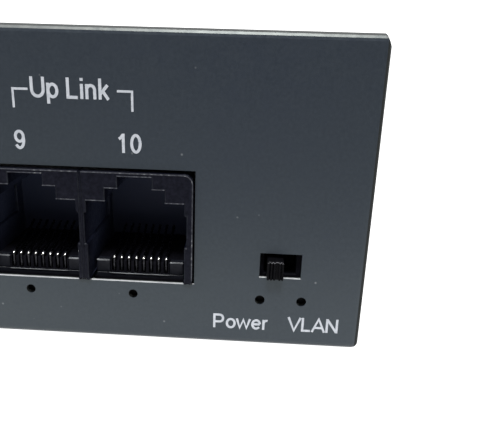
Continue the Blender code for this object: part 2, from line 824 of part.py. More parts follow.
# --- wiring -----------------------------------------------------------------------------
def make_wiring():
    """Leads from the inlet's tabs down to the power board, and from it to the main board."""
    tab_y = REAR - INLET_BODY - 7.0 - GAP
    tab_z = INLET_Z - 1.5
    seat = BOARD_SEAT
    for name, dx, (land_x, land_y) in (
        ("line", -7.0, (-112.0, 48.0)),
        ("neutral", 7.0, (-88.0, 44.0)),
    ):
        x = INLET_X + dx
        points = [
            (x, tab_y, tab_z),
            (x, tab_y - 3.0, tab_z + 0.2),
            ((x + land_x) / 2, tab_y - 7.0, tab_z - 2.0),
            (land_x, land_y + 3.0, seat + 7.0),
            (land_x, land_y, seat + 3.0),
            (land_x, land_y, seat),
        ]
        soften(tube(f"mains_lead_{name}", points, 1.2, "wire_insulation"))
    from_x, to_x, y = -52.0, -28.0, -46.0
    points = [
        (from_x, y, seat),
        (from_x, y, seat + 4.0),
        (from_x + 6.0, y, seat + 8.5),
        ((from_x + to_x) / 2, y, seat + 9.5),
        (to_x - 6.0, y, seat + 8.5),
        (to_x, y, seat + 4.0),
        (to_x, y, seat),
    ]
    soften(tube("dc_cable", points, 1.8, "wire_insulation"))


def main():
    make_tray()
    make_cover()
    make_feet()
    make_screws()
    make_internals()
    make_light_guides()
    for number, x in enumerate(PORTS_X, start=1):
        make_jack(number, x)
        make_contacts(number, x)
    make_slide_switch()
    make_inlet()
    make_wiring()


main()
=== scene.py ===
"""The looks of the network switch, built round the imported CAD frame."""

import json
from math import cos, pi, radians, sin

import bmesh
import bpy
from mathutils import Matrix, Vector


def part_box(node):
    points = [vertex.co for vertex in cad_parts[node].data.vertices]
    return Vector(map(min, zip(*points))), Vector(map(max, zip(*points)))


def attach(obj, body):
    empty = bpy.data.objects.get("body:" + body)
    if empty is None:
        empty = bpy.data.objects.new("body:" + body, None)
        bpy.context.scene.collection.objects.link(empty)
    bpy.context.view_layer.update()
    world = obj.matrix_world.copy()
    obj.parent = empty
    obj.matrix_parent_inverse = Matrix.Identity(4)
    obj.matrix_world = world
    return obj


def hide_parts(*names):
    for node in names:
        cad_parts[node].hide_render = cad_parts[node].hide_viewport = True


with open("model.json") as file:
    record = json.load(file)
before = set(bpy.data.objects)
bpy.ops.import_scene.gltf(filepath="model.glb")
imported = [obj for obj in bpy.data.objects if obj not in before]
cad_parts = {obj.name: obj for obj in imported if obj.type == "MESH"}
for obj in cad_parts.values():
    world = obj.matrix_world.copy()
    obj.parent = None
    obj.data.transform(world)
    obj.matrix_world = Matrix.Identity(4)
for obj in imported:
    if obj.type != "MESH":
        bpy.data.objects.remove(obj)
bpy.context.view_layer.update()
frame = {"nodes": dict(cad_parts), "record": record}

MM = 0.001
NODES = frame["nodes"]

# --- where things are, read from the frame ---------------------------------------------
def box_mm(node):
    """The low and the high corner of a node's box, in mm."""
    return [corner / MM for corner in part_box(node)]


def port_x(number):
    low, high = box_mm(f"contact_insert_{number}")
    return (low.x + high.x) / 2


TRAY_LOW, TRAY_HIGH = box_mm("base_tray")
FRONT, REAR, RIGHT = TRAY_LOW.y, TRAY_HIGH.y, TRAY_HIGH.x
FLOOR, TOP = TRAY_LOW.z, TRAY_HIGH.z
JACKS = len([name for name in NODES if name.startswith("jack_housing_")])
FIRST_UPLINK = 9


# --- materials --------------------------------------------------------------------------
class Material:
    """A procedural material on a Principled BSDF. Its patterns are laid out in millimetres."""

    def __init__(self, name, constants):
        self.material = bpy.data.materials.new(name)
        self.material.use_nodes = True
        self.tree = self.material.node_tree
        self.shader = self.tree.nodes["Principled BSDF"]
        for socket, value in constants.items():
            self.shader.inputs[socket].default_value = value
        coordinates = self.tree.nodes.new("ShaderNodeTexCoord")
        mapping = self.tree.nodes.new("ShaderNodeMapping")
        mapping.inputs["Scale"].default_value = (1 / MM,) * 3
        self.link(coordinates.outputs["Object"], mapping.inputs["Vector"])
        self.place = mapping.outputs["Vector"]
        self.facing = coordinates.outputs["Normal"]

    def link(self, output, socket):
        self.tree.links.new(output, socket)

    def stretched(self, x, y, z):
        """The millimetre coordinates, squeezed or stretched along each axis."""
        mapping = self.tree.nodes.new("ShaderNodeMapping")
        mapping.inputs["Scale"].default_value = (x, y, z)
        self.link(self.place, mapping.inputs["Vector"])
        return mapping.outputs["Vector"]

    def noise(self, size, detail=3.0, roughness=0.5, place=None):
        """Noise from 0 to 1 whose features are about as wide as size, in millimetres."""
        node = self.tree.nodes.new("ShaderNodeTexNoise")
        node.inputs["Scale"].default_value = 1 / size
        node.inputs["Detail"].default_value = detail
        node.inputs["Roughness"].default_value = roughness
        self.link(place or self.place, node.inputs["Vector"])
        return node.outputs["Fac"]

    def cells(self, size):
        """The distance from the nearest of scattered points, about size millimetres apart."""
        node = self.tree.nodes.new("ShaderNodeTexVoronoi")
        node.inputs["Scale"].default_value = 1 / size
        self.link(self.place, node.inputs["Vector"])
        return node.outputs["Distance"]

    def ramp(self, value, *stops):
        """A value turned into a colour or a grey by stops of (position, colour or grey)."""
        node = self.tree.nodes.new("ShaderNodeValToRGB")
        elements = node.color_ramp.elements
        while len(elements) < len(stops):
            elements.new(0.5)
        for element, (position, colour) in zip(elements, stops):
            element.position = position
            grey = isinstance(colour, (int, float))
            element.color = (colour, colour, colour, 1.0) if grey else (*colour, 1.0)
        self.link(value, node.inputs["Fac"])
        return node.outputs["Color"]

    def mix(self, factor, first, second):
        """A blend of two colours, each a link or a plain colour, by a linked factor."""
        node = self.tree.nodes.new("ShaderNodeMix")
        node.data_type = "RGBA"
        self.link(factor, node.inputs[0])
        for socket, value in ((node.inputs[6], first), (node.inputs[7], second)):
            if isinstance(value, tuple):
                socket.default_value = (*value, 1.0)
            else:
                self.link(value, socket)
        return node.outputs[2]

    def band(self, place, axis, *stops):
        """A grey that follows one axis of a vector, by stops of (coordinate, grey)."""
        split = self.tree.nodes.new("ShaderNodeSeparateXYZ")
        self.link(place, split.inputs[0])
        low, high = stops[0][0], stops[-1][0]
        span = self.tree.nodes.new("ShaderNodeMapRange")
        span.inputs["From Min"].default_value = low
        span.inputs["From Max"].default_value = high
        self.link(split.outputs[axis], span.inputs["Value"])
        return self.ramp(span.outputs["Result"], *(((at - low) / (high - low), g) for at, g in stops))

    def between(self, axis, low, high, soft=0.1):
        """A grey that is 1 between two places in mm along an axis, with soft ends inside them."""
        return self.band(self.place, axis, (low, 0.0), (low + soft, 1.0), (high - soft, 1.0), (high, 0.0))

    def product(self, *factors):
        """The product of greys."""
        result = factors[0]
        for factor in factors[1:]:
            node = self.tree.nodes.new("ShaderNodeMath")
            node.operation = "MULTIPLY"
            self.link(result, node.inputs[0])
            self.link(factor, node.inputs[1])
            result = node.outputs[0]
        return result

    def bump(self, height, depth, strength=1.0):
        """Adds a bump of this depth, in millimetres, on top of the bumps added before it."""
        node = self.tree.nodes.new("ShaderNodeBump")
        node.inputs["Distance"].default_value = depth * MM
        node.inputs["Strength"].default_value = strength
        self.link(height, node.inputs["Height"])
        normal = self.shader.inputs["Normal"]
        if normal.is_linked:
            self.link(normal.links[0].from_socket, node.inputs["Normal"])
        self.link(node.outputs["Normal"], normal)

    def colour(self, value):
        self.link(value, self.shader.inputs["Base Color"])

    def roughness(self, value):
        self.link(value, self.shader.inputs["Roughness"])


def powder_coat():
    """Charcoal powder coat: fine orange peel, uneven gloss and a few light specks of dust.

    The front lips of the openings' sills, and the rolled bend over the front, are pale: painted
    highlights. The sills behind the lips, the lamp holes and the crown behind the bend are darkened
    as painted shade. The right side is darkened as painted shade, and is matt.
    """
    m = Material("powder_coat", {"IOR": 1.5, "Specular Tint": (0.9, 1.0, 0.95, 1.0)})
    tone = m.ramp(m.noise(38.0, detail=2.0), (0.3, (0.015, 0.020, 0.033)), (0.7, (0.019, 0.025, 0.034)))
    fine = m.noise(0.45, detail=2.0)
    grain = m.ramp(fine, (0.35, (0.013, 0.018, 0.027)), (0.7, (0.024, 0.030, 0.041)))
    soft = m.ramp(m.noise(2.2), (0.3, 0.25), (0.7, 0.55))
    coat = m.mix(soft, tone, grain)
    dust = m.ramp(m.cells(4.4), (0.0, 0.7), (0.045, 0.0))
    dusty = m.mix(dust, coat, (0.22, 0.23, 0.24))

    lip_back, sill_back = FRONT + 0.48, FRONT + 1.3
    hole_front, crown_back = FRONT + 0.1, FRONT + 1.6
    sill_low, sill_high = FLOOR + 7.9, FLOOR + 13.1
    holes_low, holes_high = FLOOR + 5.7, FLOOR + 7.8
    roll_low = FLOOR + 36.0
    at_sills = m.between("Z", sill_low, sill_high)
    at_roll = m.band(m.place, "Z", (roll_low, 0.0), (roll_low + 1.0, 1.0))
    # The up-facing faces of the sills' lips are painted pale: a painted highlight.
    lip = m.product(
        m.band(m.facing, "Z", (0.45, 0.0), (0.6, 1.0)),
        m.band(m.place, "Y", (lip_back - 0.12, 1.0), (lip_back, 0.0)),
        at_sills,
        m.ramp(m.noise(1.4, detail=4.0), (0.3, 0.7), (0.6, 1.0)),
    )
    # The sills behind the lips are painted near black: painted shade.
    sills = m.product(m.between("Y", lip_back - 0.1, sill_back), at_sills)
    # The rolled bend over the front, where it faces forward and up: a painted highlight.
    bend = m.product(
        m.band(m.facing, "Z", (0.24, 0.0), (0.3, 1.0), (0.74, 1.0), (0.8, 0.0)),
        m.band(m.facing, "Y", (-0.98, 1.0), (-0.3, 1.0), (-0.2, 0.0)),
        at_roll,
        m.ramp(m.noise(1.7, detail=4.0), (0.35, 0.45), (0.65, 1.0)),
    )
    # The right side is painted darker: painted shade. It is also made rough.
    side = m.band(m.facing, "X", (0.2, 0.0), (0.45, 1.0))
    # The crown just behind the bend is painted dark: painted shade. It is also made rough.
    crown = m.product(
        m.band(m.facing, "Z", (0.76, 0.0), (0.84, 1.0)),
        m.band(m.place, "Y", (crown_back - 0.2, 1.0), (crown_back, 0.0)),
        at_roll,
    )
    # The walls of the lamp holes are painted near black: painted shade.
    lamp_holes = m.product(
        m.band(m.place, "Y", (hole_front, 0.0), (hole_front + 0.1, 1.0)),
        m.between("Z", holes_low, holes_high),
    )

    unlit = (0.002, 0.002, 0.002)
    shaded_side = m.mix(side, dusty, (0.008, 0.008, 0.009))
    shaded_sills_and_holes = m.mix(sills, m.mix(lamp_holes, shaded_side, unlit), unlit)
    shaded_crown = m.mix(crown, shaded_sills_and_holes, (0.03, 0.03, 0.03))
    # The bend's painted highlight, mixed over the coat.
    with_bend_highlight = m.mix(bend, shaded_crown, (0.145, 0.148, 0.145))
    m.colour(m.mix(lip, with_bend_highlight, (0.6, 0.62, 0.63)))
    gloss = m.ramp(m.noise(0.9, detail=4.0), (0.3, 0.33), (0.7, 0.43))
    rough = (0.95, 0.95, 0.95)
    m.roughness(m.mix(side, m.mix(crown, gloss, rough), rough))
    m.bump(m.noise(0.85, detail=2.0, roughness=0.4), 0.024)
    m.bump(m.noise(0.22, detail=2.0), 0.004)
    m.bump(m.cells(5.0), 0.01, strength=0.35)
    return m.material


def worn_edges(m, plain, worn, *facing_z):
    """Mixes in the colour worn on the rounded edges between the front and the other faces: rubbed
    wear and a painted highlight.

    The stops of facing_z, where given, limit it to edges that face up or down by that much.
    """
    # The pale edges are partly rubbed wear and partly a painted highlight.
    edge = m.band(m.facing, "Y", (-0.985, 0.0), (-0.95, 1.0), (-0.2, 1.0), (-0.1, 0.0))
    patchy = m.ramp(m.noise(0.8, detail=4.0), (0.35, 0.35), (0.65, 1.0))
    masks = (edge, patchy, m.band(m.facing, "Z", *facing_z)) if facing_z else (edge, patchy)
    return m.mix(m.product(*masks), plain, worn)


def moulded_black():
    """Black moulded plastic with a fine texture. Its edges are pale with wear and a painted highlight,
    and it is paler inside the jacks as painted light.
    """
    m = Material("moulded_black", {"IOR": 1.5, "Specular IOR Level": 0.1})
    face = m.ramp(m.noise(0.4), (0.3, (0.001, 0.0015, 0.005)), (0.75, (0.007, 0.0075, 0.014)))
    # Paler deeper inside the jacks: painted light.
    depth = m.band(m.place, "Y", (FRONT + 0.1, 0.0), (FRONT + 1.2, 0.12), (FRONT + 7.0, 1.0))
    inside = m.mix(depth, face, (0.04, 0.048, 0.085))
    m.colour(worn_edges(m, inside, (0.015, 0.017, 0.023)))
    m.roughness(m.ramp(m.noise(0.5, detail=4.0), (0.3, 0.38), (0.7, 0.58)))
    m.bump(m.noise(0.12, detail=3.0), 0.006)
    m.bump(m.noise(3.0), 0.02, strength=0.4)
    return m.material


def inlet_black():
    """The glossier black plastic of the mains inlet."""
    m = Material("inlet_black", {"IOR": 1.5})
    m.colour(m.ramp(m.noise(1.1), (0.3, (0.010, 0.010, 0.011)), (0.75, (0.02, 0.02, 0.022))))
    m.roughness(m.ramp(m.noise(0.5, detail=4.0), (0.3, 0.3), (0.7, 0.46)))
    m.bump(m.noise(0.12, detail=3.0), 0.006)
    m.bump(m.noise(3.0), 0.02, strength=0.4)
    return m.material


def rubbed_plastic():
    """The same black plastic, patchy grey over black: rubbed wear and a painted highlight."""
    m = Material("rubbed_plastic", {"IOR": 1.5, "Specular IOR Level": 0.3})
    black, grey, pale = (0.012, 0.013, 0.019), (0.05, 0.053, 0.065), (0.17, 0.175, 0.18)
    m.colour(m.ramp(m.noise(0.5, detail=4.0), (0.35, black), (0.55, grey), (0.72, pale)))
    m.roughness(m.ramp(m.noise(0.4), (0.3, 0.4), (0.7, 0.6)))
    m.bump(m.noise(0.2), 0.01)
    return m.material


def knob_black():
    """The black plastic of the knob, pale on its top edge with wear and a painted highlight."""
    m = Material("knob_black", {"IOR": 1.5, "Specular IOR Level": 0.06})
    plain = m.ramp(m.noise(0.6), (0.3, (0.001, 0.001, 0.0015)), (0.7, (0.003, 0.003, 0.004)))
    # Up-facing edges: rubbed wear and a painted highlight.
    m.colour(worn_edges(m, plain, (0.14, 0.14, 0.15), (0.1, 0.0), (0.3, 1.0)))
    m.roughness(m.ramp(m.noise(0.4), (0.3, 0.4), (0.7, 0.55)))
    m.bump(m.noise(0.12), 0.006)
    return m.material


def comb_plastic():
    """The greyer plastic of the contact combs, its upper edge pale with wear and painted highlight."""
    m = Material("comb_plastic", {"IOR": 1.5, "Specular IOR Level": 0.15})
    plain = m.ramp(m.noise(0.6), (0.3, (0.006, 0.0065, 0.010)), (0.7, (0.011, 0.012, 0.017)))
    # Up-facing edges: rubbed wear and a painted highlight.
    m.colour(worn_edges(m, plain, (0.24, 0.25, 0.26), (0.1, 0.0), (0.3, 1.0)))
    m.roughness(m.ramp(m.noise(0.35), (0.3, 0.35), (0.7, 0.5)))
    m.bump(m.noise(0.15), 0.006)
    return m.material


def shaded_black():
    """Black plastic darkened as painted shade, for parts that sit behind the windows or in the jacks."""
    m = Material("shaded_black", {"IOR": 1.45, "Specular IOR Level": 0.08})
    m.colour(m.ramp(m.noise(0.8), (0.3, (0.003, 0.003, 0.005)), (0.7, (0.006, 0.006, 0.009))))
    m.roughness(m.ramp(m.noise(0.5), (0.3, 0.6), (0.7, 0.8)))
    m.bump(m.noise(0.2), 0.008)
    return m.material


def spring_metal(crest_y, crest_z):
    """Pale plated wire: a painted highlight at the crest, and painted shade below it and behind it."""
    m = Material("spring_metal", {"Metallic": 1.0})
    # A painted highlight on the crest, painted shade on the wire below it and behind it.
    crest_highlight = m.ramp(m.noise(0.5), (0.3, (0.85, 0.84, 0.8)), (0.7, (0.97, 0.96, 0.93)))
    shade_behind = m.ramp(m.noise(0.9), (0.3, (0.03, 0.03, 0.035)), (0.7, (0.07, 0.07, 0.075)))
    dull = m.ramp(m.noise(0.4), (0.3, (0.016, 0.016, 0.019)), (0.7, (0.045, 0.045, 0.05)))
    low = m.band(m.place, "Z", (crest_z - 0.16, 1.0), (crest_z - 0.04, 0.0))
    behind = m.band(m.place, "Y", (crest_y + 0.2, 0.0), (crest_y + 0.45, 1.0))
    m.colour(m.mix(behind, m.mix(low, crest_highlight, dull), shade_behind))
    m.roughness(m.ramp(m.noise(0.3, detail=4.0), (0.3, 0.2), (0.7, 0.32)))
    m.bump(m.noise(0.09, place=m.stretched(1.0, 0.15, 0.15)), 0.003)
    return m.material


def gold_plate():
    """Gold-plated contacts, brushed along their length."""
    m = Material("gold_plate", {"Metallic": 1.0})
    m.colour(m.ramp(m.noise(0.8), (0.3, (0.78, 0.56, 0.24)), (0.7, (0.92, 0.74, 0.42))))
    m.roughness(m.ramp(m.noise(0.3, detail=4.0), (0.3, 0.16), (0.7, 0.32)))
    m.bump(m.noise(0.09, place=m.stretched(1.0, 0.15, 0.15)), 0.003)
    return m.material


def zinc_plate():
    """Zinc-plated steel with fine turning marks and a faint blue and yellow tarnish."""
    m = Material("zinc_plate", {"Metallic": 1.0})
    blue, clear, yellow = (0.5, 0.52, 0.56), (0.62, 0.62, 0.6), (0.66, 0.6, 0.5)
    m.colour(m.ramp(m.noise(1.6, detail=2.0), (0.3, blue), (0.55, clear), (0.75, yellow)))
    m.roughness(m.ramp(m.noise(0.4, detail=4.0), (0.3, 0.22), (0.7, 0.42)))
    m.bump(m.noise(0.12, detail=4.0), 0.004)
    return m.material


def soft_rubber():
    m = Material("soft_rubber", {"IOR": 1.5})
    m.colour(m.ramp(m.noise(1.5), (0.3, (0.014, 0.014, 0.014)), (0.7, (0.026, 0.026, 0.027))))
    m.roughness(m.ramp(m.noise(0.6), (0.3, 0.72), (0.7, 0.9)))
    m.bump(m.noise(0.2, detail=4.0), 0.02)
    return m.material


def circuit_board():
    """Green solder mask over a maze of copper tracks, with tinned pads."""
    m = Material("circuit_board", {"IOR": 1.5})
    maze = m.noise(2.4, detail=0.0, place=m.stretched(0.35, 1.0, 1.0))
    track = m.ramp(maze, (0.46, 0.0), (0.48, 1.0), (0.52, 1.0), (0.54, 0.0))
    mask = m.mix(track, (0.008, 0.07, 0.025), (0.02, 0.15, 0.05))
    pad = m.ramp(m.cells(3.1), (0.16, 1.0), (0.19, 0.0))
    m.colour(m.mix(pad, mask, (0.55, 0.55, 0.53)))
    m.roughness(m.ramp(m.noise(1.0), (0.3, 0.22), (0.7, 0.36)))
    m.bump(track, 0.03)
    m.bump(pad, 0.05)
    return m.material


def extruded_aluminium():
    m = Material("extruded_aluminium", {"Metallic": 1.0})
    streaks = m.noise(0.5, detail=4.0, place=m.stretched(1.0, 0.04, 1.0))
    m.colour(m.ramp(streaks, (0.3, (0.5, 0.51, 0.53)), (0.7, (0.66, 0.67, 0.68))))
    m.roughness(m.ramp(streaks, (0.3, 0.28), (0.7, 0.45)))
    m.bump(streaks, 0.02)
    return m.material


def smoked_acrylic():
    """Dark clear bars that carry the light of the lamps, which are off."""
    m = Material("smoked_acrylic", {"IOR": 1.49, "Specular IOR Level": 0.1})
    m.colour(m.ramp(m.noise(1.5), (0.3, (0.002, 0.002, 0.003)), (0.7, (0.005, 0.005, 0.006))))
    m.roughness(m.ramp(m.noise(0.5), (0.3, 0.3), (0.7, 0.5)))
    m.bump(m.noise(0.8), 0.01)
    return m.material


def sintered_ferrite():
    m = Material("sintered_ferrite", {"IOR": 1.5})
    m.colour(m.ramp(m.noise(0.7, detail=5.0), (0.3, (0.02, 0.02, 0.022)), (0.7, (0.05, 0.05, 0.053))))
    m.roughness(m.ramp(m.noise(1.2), (0.3, 0.5), (0.7, 0.75)))
    m.bump(m.noise(0.3, detail=5.0), 0.03)
    return m.material


def shrunk_sleeve():
    m = Material("shrunk_sleeve", {"IOR": 1.5})
    m.colour(m.ramp(m.noise(4.0), (0.3, (0.012, 0.014, 0.03)), (0.7, (0.03, 0.033, 0.06))))
    m.roughness(m.ramp(m.noise(2.0), (0.3, 0.22), (0.7, 0.4)))
    m.bump(m.noise(1.5, place=m.stretched(1.0, 1.0, 0.2)), 0.03)
    return m.material


def wire_vinyl():
    m = Material("wire_vinyl", {"IOR": 1.5})
    m.colour(m.ramp(m.noise(2.0), (0.3, (0.018, 0.018, 0.02)), (0.7, (0.035, 0.035, 0.038))))
    m.roughness(m.ramp(m.noise(0.8), (0.3, 0.4), (0.7, 0.6)))
    m.bump(m.noise(0.5), 0.01)
    return m.material


def screen_ink():
    """Pale screen-printed ink, a little uneven, with pinholes."""
    m = Material("screen_ink", {"IOR": 1.48})
    tone = m.ramp(m.noise(0.6), (0.3, (0.4, 0.425, 0.465)), (0.7, (0.5, 0.52, 0.56)))
    m.colour(m.mix(m.ramp(m.cells(0.9), (0.06, 1.0), (0.1, 0.0)), tone, (0.31, 0.34, 0.38)))
    m.roughness(m.ramp(m.noise(0.4), (0.3, 0.45), (0.7, 0.65)))
    m.bump(m.noise(0.3), 0.006)
    return m.material


def studio_floor():
    """A white table that glows, so that shadows on it stay pale, and is dimmer in front."""
    m = Material("studio_floor", {"IOR": 1.4, "Specular IOR Level": 0.1, "Emission Strength": 1.12})
    m.colour(m.ramp(m.noise(60.0), (0.3, (0.148, 0.148, 0.148)), (0.7, (0.152, 0.152, 0.152))))
    near = m.band(m.place, "Y", (FRONT - 170.0, 0.12), (FRONT - 60.0, 0.2), (FRONT - 18.0, 1.0))
    glow = m.product(near, m.ramp(m.noise(80.0), (0.3, 0.99), (0.7, 1.0)))
    m.link(glow, m.shader.inputs["Emission Color"])
    m.roughness(m.ramp(m.noise(20.0), (0.3, 0.7), (0.7, 0.85)))
    return m.material


MATERIALS = {
    "charcoal_paint": powder_coat(),
    "black_plastic": moulded_black(),
    "contact_gold": gold_plate(),
    "green_board": circuit_board(),
    "bright_steel": zinc_plate(),
    "black_rubber": soft_rubber(),
    "aluminium": extruded_aluminium(),
    "clear_acrylic": smoked_acrylic(),
    "ferrite": sintered_ferrite(),
    "capacitor_sleeve": shrunk_sleeve(),
    "wire_insulation": wire_vinyl(),
}
COMB = comb_plastic()
SHADED = shaded_black()
KNOB = knob_black()
WEAR_HIGHLIGHT = rubbed_plastic()
INK = screen_ink()
SPECIAL = {"slide_switch_body": SHADED, "inlet_body": inlet_black()}


# --- CAD pieces: better materials, and fine edges that catch the light ------------------
# The widths of the fine edges in mm, by how the node's name starts.
EDGE_WIDTHS = {
    "base_tray": 0.08,
    "top_cover": 0.08,
    "inlet_body": 0.25,
    "slide_switch_body": 0.1,
    "jack_housing": 0.14,
}


WELD_DISTANCE = 0.002
FLAT_ANGLE = 0.3
SHARP_ANGLE = 40


def fine_edges(obj, width, segments=2):
    """Rounds the sharp edges of an object by a width in mm."""
    bevel = obj.modifiers.new("Edges", "BEVEL")
    bevel.width = width * MM
    bevel.segments = segments
    bevel.limit_method = "ANGLE"
    bevel.angle_limit = radians(SHARP_ANGLE)
    return bevel


def finish_cad_node(node, slot):
    node.data.materials.clear()
    node.data.materials.append(SPECIAL.get(node.name, MATERIALS[slot]))
    for start, width in EDGE_WIDTHS.items():
        if not node.name.startswith(start):
            continue
        weld = node.modifiers.new("Weld", "WELD")
        weld.merge_threshold = WELD_DISTANCE * MM
        if start == "base_tray":
            # Without this, the triangles of the front show as faint lines between the holes.
            flat = node.modifiers.new("Flat", "DECIMATE")
            flat.decimate_type = "DISSOLVE"
            flat.angle_limit = radians(FLAT_ANGLE)
        bevel = fine_edges(node, width, segments=1)
        bevel.use_clamp_overlap = start != "jack_housing"


for part in frame["record"]["subparts"]:
    finish_cad_node(NODES[part["node"]], part["material_slot"])


# --- mesh helpers -----------------------------------------------------------------------
def to_object(name, shape, material, body="chassis", smooth=None):
    """Turns a bmesh in metres into a piece that rides on a body. smooth is an angle in degrees."""
    bmesh.ops.recalc_face_normals(shape, faces=shape.faces)
    mesh = bpy.data.meshes.new(name)
    shape.to_mesh(mesh)
    shape.free()
    mesh.materials.append(material)
    if smooth is not None:
        mesh.shade_smooth()
        mesh.set_sharp_from_angle(angle=radians(smooth))
    obj = bpy.data.objects.new(name, mesh)
    bpy.context.scene.collection.objects.link(obj)
    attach(obj, body)
    return obj


ALONG_Y, ALONG_Z = 1, 2


def extrude(shape, outline, axis, low, high):
    """Adds a closed outline, extruded along an axis from low to high, all in mm.

    The outline's points have the two coordinates that are not along the axis.
    """
    rings = []
    for level in (low, high):
        corners = [(*point[:axis], level, *point[axis:]) for point in outline]
        rings.append([shape.verts.new([c * MM for c in corner]) for corner in corners])
    shape.faces.new(rings[0])
    shape.faces.new(reversed(rings[1]))
    count = len(outline)
    for i in range(count):
        j = (i + 1) % count
        shape.faces.new((rings[0][j], rings[0][i], rings[1][i], rings[1][j]))


def round_wire(shape, path, radius, sides):
    """Adds a capped round wire along points in mm that all lie in one YZ plane."""
    rings = []
    for i, at in enumerate(path):
        before, after = path[max(i - 1, 0)], path[min(i + 1, len(path) - 1)]
        along = (after - before).normalized()
        across = Vector((1, 0, 0))
        up = along.cross(across)
        ring = []
        for k in range(sides):
            turn = 2 * pi * k / sides
            ring.append(shape.verts.new((at + radius * (across * cos(turn) + up * sin(turn))) * MM))
        rings.append(ring)
    for near, far in zip(rings, rings[1:]):
        for k in range(sides):
            j = (k + 1) % sides
            shape.faces.new((near[k], near[j], far[j], far[k]))
    shape.faces.new(reversed(rings[0]))
    shape.faces.new(rings[-1])


# --- contact combs and springs ----------------------------------------------------------
# In mm, apart from the counts.
CONTACTS = 8
CONTACT_PITCH = 1.02
SLOT_WIDTH = 0.62
WIRE_RADIUS = 0.19
WIRE_SIDES = 10
WIRE_START = 0.2
WIRE_IN = 0.32
WIRE_BEND = 0.3
WIRE_SAG = 0.25
WIRE_REACH = 8.4
CREST_RISE = 0.34
COMB_SETBACK = 0.1
COMB_LEDGE = 2.4
COMB_DEPTH = 1.2
COMB_LOWER_BAR = 0.55
COMB_REAR_RISE = 0.9
CHEEK_EDGE = 0.16
TEETH_HALF = 4.1
TEETH_BAR = 0.1
TEETH_SETBACK = 0.1
TEETH_CLEAR = 0.05
RIB_HEIGHT = 0.16
RIB_PROUD = 0.14
# The strip under each comb, in the near-black of painted shade:
SHADE_STRIP_WIDER = 0.3
SHADE_STRIP_DEPTH = 0.6
SHADE_STRIP_DROP = 0.6
SHADE_STRIP_GAP = 0.03
HAIRLINE = 0.02


def block(name, material, x_range, y_range, z_range, edge=0.06):
    """A small moulded block between limits in mm, with fine edges."""
    shape = bmesh.new()
    (left, right), (low, high) = x_range, z_range
    extrude(shape, [(left, low), (right, low), (right, high), (left, high)], ALONG_Y, *y_range)
    fine_edges(to_object(name, shape, material), edge)


def contact_x(contact):
    """A contact's place from the middle of its jack, in mm."""
    return (contact - (CONTACTS - 1) / 2) * CONTACT_PITCH


def teeth_outline(half, low, high):
    """Teeth in (x, z) that stand between the slots, on a common bar."""
    outline = [(-half, low), (half, low), (half, high)]
    for contact in reversed(range(CONTACTS)):
        left = contact_x(contact) - SLOT_WIDTH / 2
        right = contact_x(contact) + SLOT_WIDTH / 2
        outline += [(right, high), (right, low + TEETH_BAR), (left, low + TEETH_BAR), (left, high)]
    return [*outline, (-half, high)]


def spring_path(front, low, crest, back, end):
    """A contact's line: up the front of its slot, over a tight bend, then back and up."""
    path = [Vector((0, front, low)), Vector((0, front, (low + crest) / 2))]
    slope = Vector((0, back - front, end - crest)).normalized()
    bend_steps, run_steps = 5, 3
    last_turn = pi / 2 - 0.3
    for k in range(bend_steps + 1):
        turn = k / bend_steps * last_turn
        y, z = front + WIRE_BEND * (1 - cos(turn)), crest - WIRE_BEND * (1 - sin(turn))
        path.append(Vector((0, y, z)))
    start = path[-1] + slope * WIRE_BEND
    finish = Vector((0, back, end))
    for k in range(run_steps + 1):
        t = k / run_steps
        path.append(start.lerp(finish, t) - Vector((0, 0, WIRE_SAG * sin(pi * t))))
    return path


